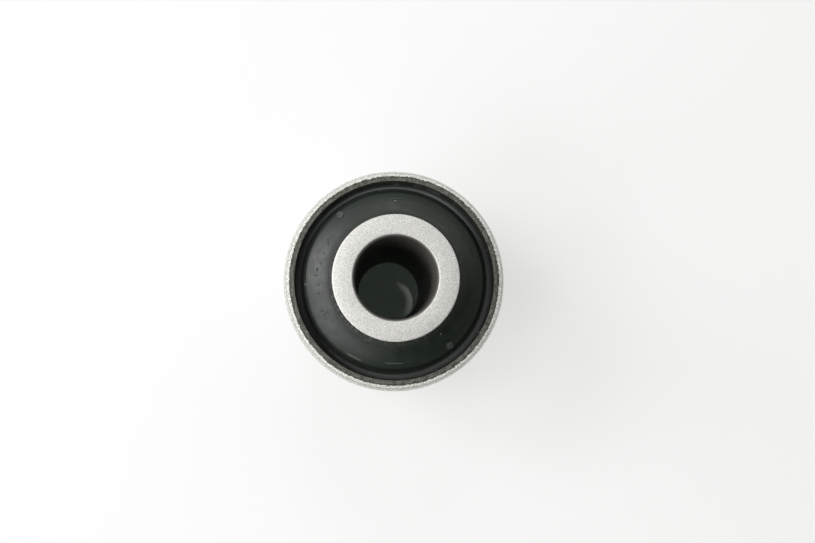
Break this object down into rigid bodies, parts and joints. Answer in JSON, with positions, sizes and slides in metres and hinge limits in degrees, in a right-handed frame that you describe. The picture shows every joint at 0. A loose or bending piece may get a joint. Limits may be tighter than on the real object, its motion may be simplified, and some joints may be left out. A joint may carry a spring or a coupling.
{
  "type": "rubber metal bush",
  "caption": "Cylindrical rubber metal bush: a thick steel inner sleeve bonded by a moulded rubber ring into a thinner, shorter steel outer sleeve, to hold a bolt and press into an eye.",
  "frame": {"origin": "centre of the inner sleeve's lower end face, on the bore's axis", "axes": "+Z along the bore, upwards to the end that shows the rubber's gate marks; the section is the same all the way round, and +X and +Y only place the gate marks"},
  "size_m": [0.034, 0.034, 0.047],
  "materials": {
    "blasted_steel": "fine blasted grain, satin, dull in the bore",
    "moulded_rubber": "matt to low satin as it leaves the mould",
    "drawn_steel": "drawn tube, satin, bright turned edge, dark rough end face"
  },
  "bodies": {
    "root": {"inner_sleeve": "blasted_steel", "rubber_body": "moulded_rubber", "outer_sleeve": "drawn_steel"}
  },
  "joints": []
}
